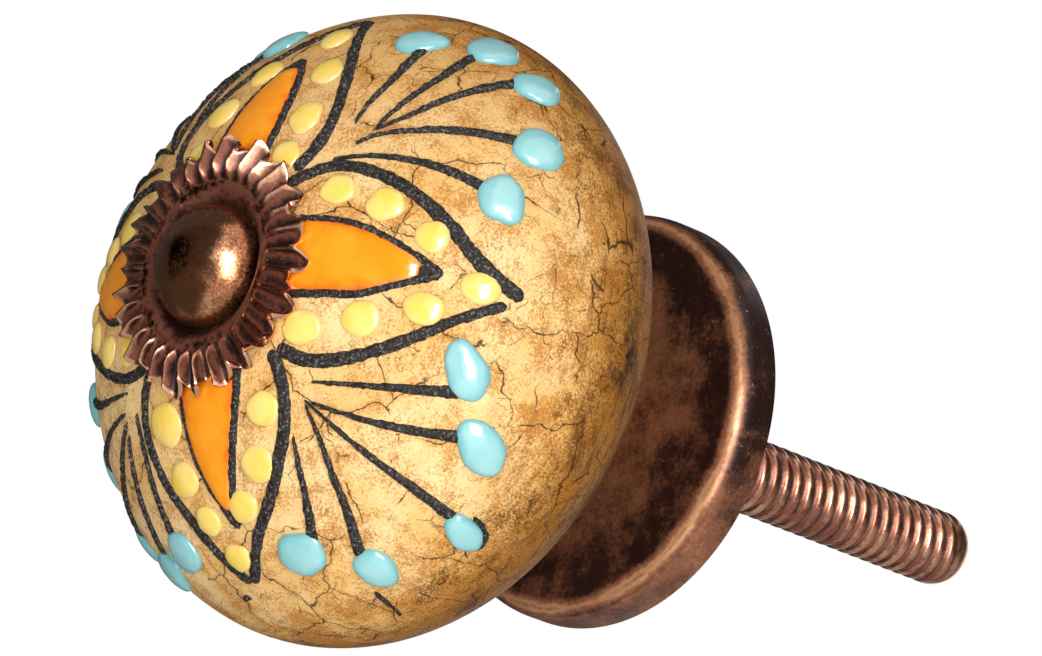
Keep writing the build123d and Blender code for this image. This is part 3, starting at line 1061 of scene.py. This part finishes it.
lower_drops = (
    (15.79, -9.42, 2.6, 3.6, 95), (15.48, -14.35, 2.9, 3.6, 110), (12.25, -19.7, 2.15, 3.2, None),
    (5.65, -20.4, 2.9, 2.8, None), (1.32, -18.14, 3.3, 2.9, 25),
)
turquoise_drops = [
    (11.17, 15.15, 3.2, 2.5, 0), (15.75, 15.42, 3.4, 3.3, -35), (19.42, 12.24, 3.1, 3.0, -40),
    (20.45, 6.26, 3.0, 3.4, -45), (18.59, 1.94, 2.8, 3.3, -50),
    *lower_drops,
    (-9.14, -15.45, 3.3, 2.9, None), (-13.45, -15.9, 3.4, 3.1, None), (-19.1, -12.9, 3.1, 3.1, None),
    (-20.4, -6.6, 3.1, 3.3, None), (-18.4, -2.6, 2.9, 3.1, None),
]
for x, z, wide, high, tail in lower_drops:
    turned_x, turned_z = map_turned([(x, z)])[0]
    turquoise_drops.append((turned_x, turned_z, wide, high, None))
turquoise = bmesh.new()
for x, z, wide, high, tail in turquoise_drops:
    add_drop(turquoise, x, z, wide, high, TURQUOISE_RISE, tail)
make_piece("turquoise_drops", turquoise, turquoise_enamel, "turquoise_dots")

# %% [markdown]
# ## Antique copper
# The metal is copper plate that was blackened and then rubbed back: dark plum-brown in the hollows,
# red-brown on open faces, bright on ridges and rims where hands and cloths reach. Each metal piece carries
# an attribute, worn, from 0 in a hollow to 1 on a rubbed ridge. On the washer, the dome
# and the base it also holds painted shade, painted reflections and a painted glow. The finish mixes three
# tints by it, with grain, specks and fine scratches. One function makes it for the pressed sheet, the base
# and the cast head, each with its own tints and wear.

# %% Copper materials
PATCHINESS = 0.18
SCRATCH_TURN = (0, math.radians(50), 0)


def antique_copper(name, tints, grain, metal, roughness):
    """Blackened copper in dark, open and bright tints, lighter where worn is high."""
    dark_tint, open_tint, bright_tint = tints
    grain_per_mm, grain_tint, grain_depth = grain
    bare_from, bare_to, least_metallic = metal
    rough_dark, rough_worn = roughness
    finish = Finish(name)
    fine = finish.noise(grain_per_mm, 5.0, 0.7)
    grainy = finish.ramp(fine, 0.25, 0.75, -grain_tint, grain_tint)
    patchy = finish.ramp(finish.noise(0.3, 5.0, 0.65), 0.32, 0.68, -PATCHINESS, PATCHINESS)
    # This level holds the wear and also the pieces' painted shade, painted reflections and painted glow.
    rubbed = finish.combine("ADD", finish.combine("ADD", finish.attribute("worn"), grainy), patchy)
    dark = finish.layer(dark_tint, rubbed, 0.0, 0.5, 1.0, open_tint)
    colour = finish.layer(dark, rubbed, 0.45, 0.9, 1.0, bright_tint)
    speck = finish.ramp(finish.noise(3.2, 3.0, 0.7), 0.66, 0.72, 0.0, 0.6)
    askew = finish.stretched((1, 1, 1), turn=SCRATCH_TURN)
    streak = finish.noise(1.0, 2.0, 0.5, finish.stretched((0.12, 1.0, 5.0), askew))
    scratch = finish.ramp(streak, 0.71, 0.74, 0.0, 0.35)
    smoother = finish.ramp(rubbed, 0.1, 0.9, rough_dark, rough_worn)
    finish.shade(
        Base_Color=finish.blend(finish.combine("MAXIMUM", speck, scratch), colour, bright_tint),
        Metallic=finish.ramp(rubbed, bare_from, bare_to, least_metallic, 1.0),
        Roughness=finish.combine("ADD", smoother, finish.ramp(fine, 0.35, 0.65, -0.04, 0.04)),
    )
    finish.bump(fine, grain_depth, 0.6)
    return finish.material


pressed_tints = (tint(46, 25, 21), tint(150, 91, 70), tint(238, 182, 150))
base_tints = (tint(46, 25, 20), tint(146, 92, 64), tint(230, 168, 120))
cast_tints = (tint(54, 30, 20), tint(182, 118, 80), tint(240, 192, 150))
sheet_grain = (3.6, 0.12, 0.010)
sheet_gloss = (0.34, 0.18)
pressed_copper = antique_copper("pressed_copper", pressed_tints, sheet_grain, (0.3, 0.55, 0.4), sheet_gloss)
# The base's metal starts late, so its middling wear stays matte red-brown; round the edge's highlight this
# makes the painted glow.
base_copper = antique_copper("base_copper", base_tints, sheet_grain, (0.6, 1.2, 0.4), sheet_gloss)
cast_copper = antique_copper("cast_copper", cast_tints, (6.0, 0.3, 0.012), (0.3, 0.55, 0.9), (0.18, 0.16))
print("copper finishes:", pressed_copper.name, base_copper.name, cast_copper.name)

# %% [markdown]
# ## The flower washer
# The washer is stamped from thin sheet: a flat dish round the bolt's head with a raised rim, then a skirt of
# narrow ridges and round troughs that fan out and end in an uneven row of points. A flat spun disc has the
# right grid of vertices, so the stamping is done by moving each one: its angle says whether it is on a ridge
# and how far the edge reaches there. Ridges are rubbed brighter than troughs, and the lower half is painted
# darker, as painted shade. Solidify then gives the sheet its thickness.

# %% Shape of the stamping
FLUTES = 33
RIDGE_ANGLE = 35.8
WASHER_HOLE = 2.5
DISH_FLOOR_RADIUS = 3.85
DISH_RIM_RADIUS = 4.78
FLUTE_START_RADIUS = 5.0
DISH_FLOOR = -34.75
DISH_RIM = -35.4
SKIRT_SLOPE = 0.31
FLUTE_DEPTH = 0.78
FLUTE_LEAN = 0.5
RIDGE_NARROWNESS = 1.5
FLUTE_RUN_IN = 1.2
NOTCH_RADIUS = 6.75
TIP_RADIUS = 7.8
TIP_UNEVENNESS = 0.3
TIP_VARIETY = Vector((9, 9, 1.7))
TIP_BLUNTNESS = 1.15
SLOPE_WEAR = 0.42
RIM_WEAR = 0.45
TROUGH_WEAR = 0.1
RIDGE_WEAR = 0.68
edge_tips = [
    -112, -98.5, -82, -66, -52, -33.5, -12.5, 3.5, 20, 37, 57,
    78.5, 93, 106, 124, 141.5, 159, 177, 195, 212.5, 230,
]


def edge_reach(angle):
    """How far the washer's edge reaches at an angle in degrees."""
    angle = (angle - edge_tips[0]) % 360 + edge_tips[0]
    for start, end in zip(edge_tips, edge_tips[1:] + [edge_tips[0] + 360]):
        if start <= angle <= end:
            nearest = start if angle - start < end - angle else end
            to_tip = abs(angle - nearest) / (0.5 * (end - start))
            on_ring = Vector((math.cos(math.radians(nearest)), math.sin(math.radians(nearest)), 1))
            tip = TIP_RADIUS + TIP_UNEVENNESS * noise.noise(on_ring * TIP_VARIETY)
            return NOTCH_RADIUS + (tip - NOTCH_RADIUS) * (1 - to_tip ** TIP_BLUNTNESS)
    return NOTCH_RADIUS


def stamped_height(radius, angle):
    """Front face of the sheet along the axis, and how rubbed it is there."""
    if radius <= DISH_FLOOR_RADIUS:
        return DISH_FLOOR, 0.0
    if radius <= DISH_RIM_RADIUS:
        share = (radius - DISH_FLOOR_RADIUS) / (DISH_RIM_RADIUS - DISH_FLOOR_RADIUS)
        return DISH_FLOOR + (DISH_RIM - DISH_FLOOR) * math.sin(share * math.pi / 2), SLOPE_WEAR * share
    if radius <= FLUTE_START_RADIUS:
        return DISH_RIM, RIM_WEAR
    out = radius - FLUTE_START_RADIUS
    phase = math.radians(FLUTES * (angle - RIDGE_ANGLE))
    ridge = (0.5 + 0.5 * math.cos(phase - FLUTE_LEAN * math.cos(phase))) ** RIDGE_NARROWNESS
    depth = FLUTE_DEPTH * math.sin(0.5 * math.pi * min(1.0, out / FLUTE_RUN_IN))
    return DISH_RIM + SKIRT_SLOPE * out - depth * ridge, TROUGH_WEAR + RIDGE_WEAR * ridge


print("points on the washer's edge:", len(edge_tips))

# %% Stamp the washer
STEPS_PER_FLUTE = 18
SKIRT_ROWS = 16
PAINTED_SHADE_BELOW = 0.3
TIP_WEAR = 0.95
TIP_WEAR_FROM = 0.9
dish_radii = [
    WASHER_HOLE, 3.4, DISH_FLOOR_RADIUS, 4.05, 4.25, 4.45, 4.62, DISH_RIM_RADIUS, 4.9, FLUTE_START_RADIUS,
]
skirt_radii = [FLUTE_START_RADIUS + row / SKIRT_ROWS for row in range(1, SKIRT_ROWS + 1)]

flat_disc = [(radius, 0.0) for radius in dish_radii + skirt_radii]
washer = turned(flat_disc, FLUTES * STEPS_PER_FLUTE, closed=False)
bmesh.ops.remove_doubles(washer, verts=washer.verts, dist=NEAR_ZERO)
worn = washer.verts.layers.float.new("worn")
for vertex in washer.verts:
    flat_radius = math.hypot(vertex.co.x, vertex.co.z) / MM
    angle = math.degrees(math.atan2(vertex.co.z, vertex.co.x))
    to_edge = max(0.0, flat_radius - FLUTE_START_RADIUS)
    radius = flat_radius
    if to_edge:
        radius = FLUTE_START_RADIUS + to_edge * (edge_reach(angle) - FLUTE_START_RADIUS)
    y, rubbed = stamped_height(radius, angle)
    # The lower half is painted darker: its wear level is scaled down towards the bottom, a painted shade.
    shade_factor_below = 1 - PAINTED_SHADE_BELOW * max(0.0, -math.sin(math.radians(angle)))
    vertex[worn] = TIP_WEAR if to_edge > TIP_WEAR_FROM else rubbed * shade_factor_below
    spread = radius / flat_radius
    vertex.co = Vector((vertex.co.x * spread, y * MM, vertex.co.z * spread))
print("washer face before its thickness:", len(washer.faces), "faces")

# %% Give the sheet its thickness and round its edge
SHEET = 0.26
RIM_ROUNDING = 0.07
RIM_START = NOTCH_RADIUS - 0.4
RIM_BEND = math.radians(50)

bmesh.ops.recalc_face_normals(washer, faces=washer.faces)
if sum(face.normal.y for face in washer.faces) > 0:
    bmesh.ops.reverse_faces(washer, faces=washer.faces)
bmesh.ops.solidify(washer, geom=washer.faces[:], thickness=SHEET * MM)
washer.normal_update()
rim_edges = []
for edge in washer.edges:
    outside = all(math.hypot(end.co.x, end.co.z) > RIM_START * MM for end in edge.verts)
    if outside and len(edge.link_faces) == 2 and edge.calc_face_angle() > RIM_BEND:
        rim_edges.append(edge)
bmesh.ops.bevel(
    washer, geom=rim_edges, offset=RIM_ROUNDING * MM, affect="EDGES", segments=2, profile=0.5, material=-1,
    clamp_overlap=True,
)
print("rounded edges:", len(rim_edges))
make_piece("stamped_washer", washer, pressed_copper, "flower_washer")

# %% [markdown]
# ## The domed bolt
# The head is a low dome that sits in the washer's dish. Behind it the shank runs through the ceramic, and
# the threaded stud stands out of the base. The head and shank are one spun outline. The thread is a wavy
# line spun and pushed forward at the same time, which is how spin makes a screw: each turn ends where the
# next turn starts. The head is glossier than the rest, so the bolt carries two copper finishes.

# %% Head and shank
HEAD_RADIUS = 3.75
HEAD_SEAT = -34.75
HEAD_RIM = -34.85
SHANK_RADIUS = 2.045
DOME_ROWS = 40
HEAD_STEPS = 160

dome_height = HEAD_RIM - HEAD_TOP
dome_sphere = (HEAD_RADIUS ** 2 + dome_height ** 2) / (2 * dome_height)
dome_centre = HEAD_TOP + dome_sphere
dome_half_angle = math.asin(HEAD_RADIUS / dome_sphere)
head_outline = []
for row in range(DOME_ROWS + 1):
    angle = dome_half_angle * row / DOME_ROWS
    head_outline.append((dome_sphere * math.sin(angle), dome_centre - dome_sphere * math.cos(angle)))
head_outline += [(HEAD_RADIUS, HEAD_SEAT), (SHANK_RADIUS, HEAD_SEAT), (SHANK_RADIUS, 0.0), (0.0, 0.0)]
bolt = turned(head_outline, HEAD_STEPS, closed=False)
print(f"dome sphere radius {dome_sphere:.2f} mm")

# %% Thread
THREAD_CREST = 2.38
THREAD_ROOT = 2.08
THREAD_PITCH = 1.06
THREAD_STOP = 1.2
ROOT_NARROWNESS = 2.2
TURN_PARTS = 48
PROFILE_PARTS = 12

turns = math.floor((STUD_END - THREAD_STOP) / THREAD_PITCH)
thread = bmesh.new()
profile = []
for step in range(PROFILE_PARTS + 1):
    share = step / PROFILE_PARTS
    ridge = 1 - (0.5 + 0.5 * math.cos(math.tau * share)) ** ROOT_NARROWNESS
    radius = THREAD_ROOT + (THREAD_CREST - THREAD_ROOT) * ridge
    profile.append(thread.verts.new((radius * MM, share * THREAD_PITCH * MM, 0)))
profile_edges = [thread.edges.new(pair) for pair in zip(profile, profile[1:])]
bmesh.ops.spin(
    thread, geom=profile + profile_edges, cent=(0, 0, 0), axis=(0, 1, 0), angle=math.tau, steps=TURN_PARTS,
    dvec=(0, THREAD_PITCH / TURN_PARTS * MM, 0),
)
one_turn = thread.verts[:] + thread.edges[:] + thread.faces[:]
for turn in range(1, turns):
    copied = bmesh.ops.duplicate(thread, geom=one_turn)["geom"]
    copied_verts = [part for part in copied if isinstance(part, bmesh.types.BMVert)]
    bmesh.ops.translate(thread, verts=copied_verts, vec=(0, turn * THREAD_PITCH * MM, 0))
bmesh.ops.remove_doubles(thread, verts=thread.verts, dist=NEAR_ZERO)
print("thread turns:", turns, "faces:", len(thread.faces))

# %% Round the stud's end and close it
TIP_ROUND = 1.7
THREAD_FADE = 1.3
FADE_LEAD = 0.4
CAP_SINK = 0.015
CAP_RUN = 0.6
CAP_ROWS = 24
CAP_STEPS = 64

tip_start = STUD_END - TIP_ROUND


def stud_radius(y):
    """The stud's outside radius along the axis: straight, then rounded over at the end."""
    past = clamp((y - tip_start) / TIP_ROUND)
    return THREAD_CREST - TIP_ROUND * (1 - math.sqrt(1 - past * past))


for vertex in thread.verts:
    flat = math.hypot(vertex.co.x, vertex.co.z) / MM
    y = vertex.co.y / MM
    kept = 1 - clamp((y - tip_start) / THREAD_FADE + FADE_LEAD)
    rounded = stud_radius(y) - (THREAD_CREST - flat) * kept
    vertex.co.x *= rounded / flat
    vertex.co.z *= rounded / flat
open_edges = [edge for edge in thread.edges if edge.is_boundary]
bmesh.ops.holes_fill(thread, edges=open_edges, sides=0)

cap_outline = [(0.0, tip_start - CAP_RUN), (THREAD_ROOT - CAP_SINK, tip_start - CAP_RUN)]
for row in range(CAP_ROWS + 1):
    y = tip_start + TIP_ROUND * math.sin(row / CAP_ROWS * math.pi / 2)
    cap_outline.append((stud_radius(y) - CAP_SINK, y))
cap_outline.append((0.0, STUD_END))
pour(thread, bolt)
pour(turned(cap_outline, CAP_STEPS, closed=False), bolt)
print("thread fades out over", THREAD_FADE, "mm")

# %% Wear and painted shade of the bolt
DOME_WEAR = 0.5
DOME_RIM_PAINTED_SHADE = 0.4
DOME_RIM_FROM = 0.9
STUD_TIP_WEAR = 0.75
ROOT_WEAR = 0.22
CREST_WEAR = 0.48

worn = bolt.verts.layers.float.new("worn")
for vertex in bolt.verts:
    radius = math.hypot(vertex.co.x, vertex.co.z) / MM
    y = vertex.co.y / MM
    if y < HEAD_SEAT:
        # The dome's rim, where it sits in the dish, is painted darker: a painted contact shade.
        to_rim = max(0.0, radius / HEAD_RADIUS - DOME_RIM_FROM) / (1 - DOME_RIM_FROM)
        vertex[worn] = DOME_WEAR - DOME_RIM_PAINTED_SHADE * to_rim
    elif y > tip_start:
        vertex[worn] = STUD_TIP_WEAR
    elif y > 0:
        to_crest = max(0.0, radius - THREAD_ROOT) / (THREAD_CREST - THREAD_ROOT)
        vertex[worn] = ROOT_WEAR + CREST_WEAR * to_crest
bolt_piece = make_piece("dome_headed_bolt", bolt, cast_copper, "domed_bolt")
bolt_piece.data.materials.append(pressed_copper)
for face in bolt_piece.data.polygons:
    face.material_index = 1 if face.center.y > HEAD_SEAT * MM else 0

# %% [markdown]
# ## The base
# The base is a shallow spun cup: a flat front that the ceramic's neck stands on, a rounded edge, and a side
# wall that meets the cabinet. Its rounded edge is rubbed bright, with a painted glow round the spot where the
# highlight falls. The side is painted a little darker and lighter towards the bottom, painted shade and a
# painted reflection, and the front is painted lighter towards the neck, a painted reflection of the ceramic.
# The cross-section is drawn with its thickness and spun, so the hollow that hides the nut is there too.

# %% Spin the base
BASE_EDGE = 1.5
BASE_WALL = 0.9
BASE_HOLE = 2.58
BASE_CHAMFER = 0.6
REAR_BEVEL = 0.15
FACE_ROWS = 24
EDGE_ROWS = 12
BASE_STEPS = 200

base_outline = []
for row in range(FACE_ROWS + 1):
    base_outline.append((BASE_HOLE + (BASE_RADIUS - BASE_EDGE - BASE_HOLE) * row / FACE_ROWS, BASE_FRONT))
for row in range(1, EDGE_ROWS + 1):
    angle = row / EDGE_ROWS * math.pi / 2
    radius = BASE_RADIUS - BASE_EDGE * (1 - math.sin(angle))
    base_outline.append((radius, BASE_FRONT + BASE_EDGE * (1 - math.cos(angle))))
inside = BASE_RADIUS - BASE_WALL
floor_back = BASE_FRONT + BASE_WALL
base_outline += [
    (BASE_RADIUS, -REAR_BEVEL), (BASE_RADIUS - REAR_BEVEL, 0.0), (inside, 0.0),
    (inside, floor_back + BASE_CHAMFER), (inside - BASE_CHAMFER, floor_back), (BASE_HOLE, floor_back),
]
base = turned(base_outline, BASE_STEPS)
print("points in the base's outline:", len(base_outline))

# %% Wear and painted light of the base
EDGE_HIGHLIGHT = 0.36
EDGE_INSIDE = 2.3
EDGE_OUTSIDE = 3.4
EDGE_WEAR_AND_GLOW = 0.85
FACE_WEAR = 0.06
REFLECTION_RADIUS = 10.6
REFLECTION_FADE = 3.4
PAINTED_REFLECTION = 0.22
SIDE_START = BASE_FRONT + 0.6 * BASE_EDGE
SIDE_PAINTED_SHADE = 0.04
UNDER_FROM = 0.2
UNDER_FADE = 0.6
PAINTED_REFLECTION_BELOW = 0.36

worn = base.verts.layers.float.new("worn")
for vertex in base.verts:
    radius = math.hypot(vertex.co.x, vertex.co.z) / MM
    y = vertex.co.y / MM
    # The face is painted lighter towards the neck: a painted reflection of the ceramic.
    vertex[worn] = FACE_WEAR + PAINTED_REFLECTION * clamp((REFLECTION_RADIUS - radius) / REFLECTION_FADE)
    # The rounded edge is rubbed bright, and painted lighter round the spot where its highlight falls: a
    # painted glow.
    if y < BASE_FRONT + BASE_EDGE:
        past_edge = (radius - BASE_RADIUS) / BASE_EDGE + EDGE_HIGHLIGHT
        to_edge = EDGE_OUTSIDE * past_edge if past_edge > 0 else -EDGE_INSIDE * past_edge
        vertex[worn] += EDGE_WEAR_AND_GLOW * max(0.0, 1 - to_edge)
    # The side wall is painted a little darker, and lighter towards the bottom: painted shade and a painted
    # reflection.
    if y > SIDE_START:
        under = clamp((-vertex.co.z / MM / radius - UNDER_FROM) / UNDER_FADE)
        vertex[worn] += PAINTED_REFLECTION_BELOW * under - SIDE_PAINTED_SHADE
make_piece("copper_base", base, base_copper, "base_cup")

# %% [markdown]
# ## The nut
# The thin hex nut in the base's hollow is right as the packed model has it, so it keeps its mesh and takes
# the copper finish.

# %% Nut finish
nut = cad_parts["retaining_nut"]
nut.data.materials.clear()
nut.data.materials.append(pressed_copper)
print("nut wears", nut.data.materials[0].name)

# %% [markdown]
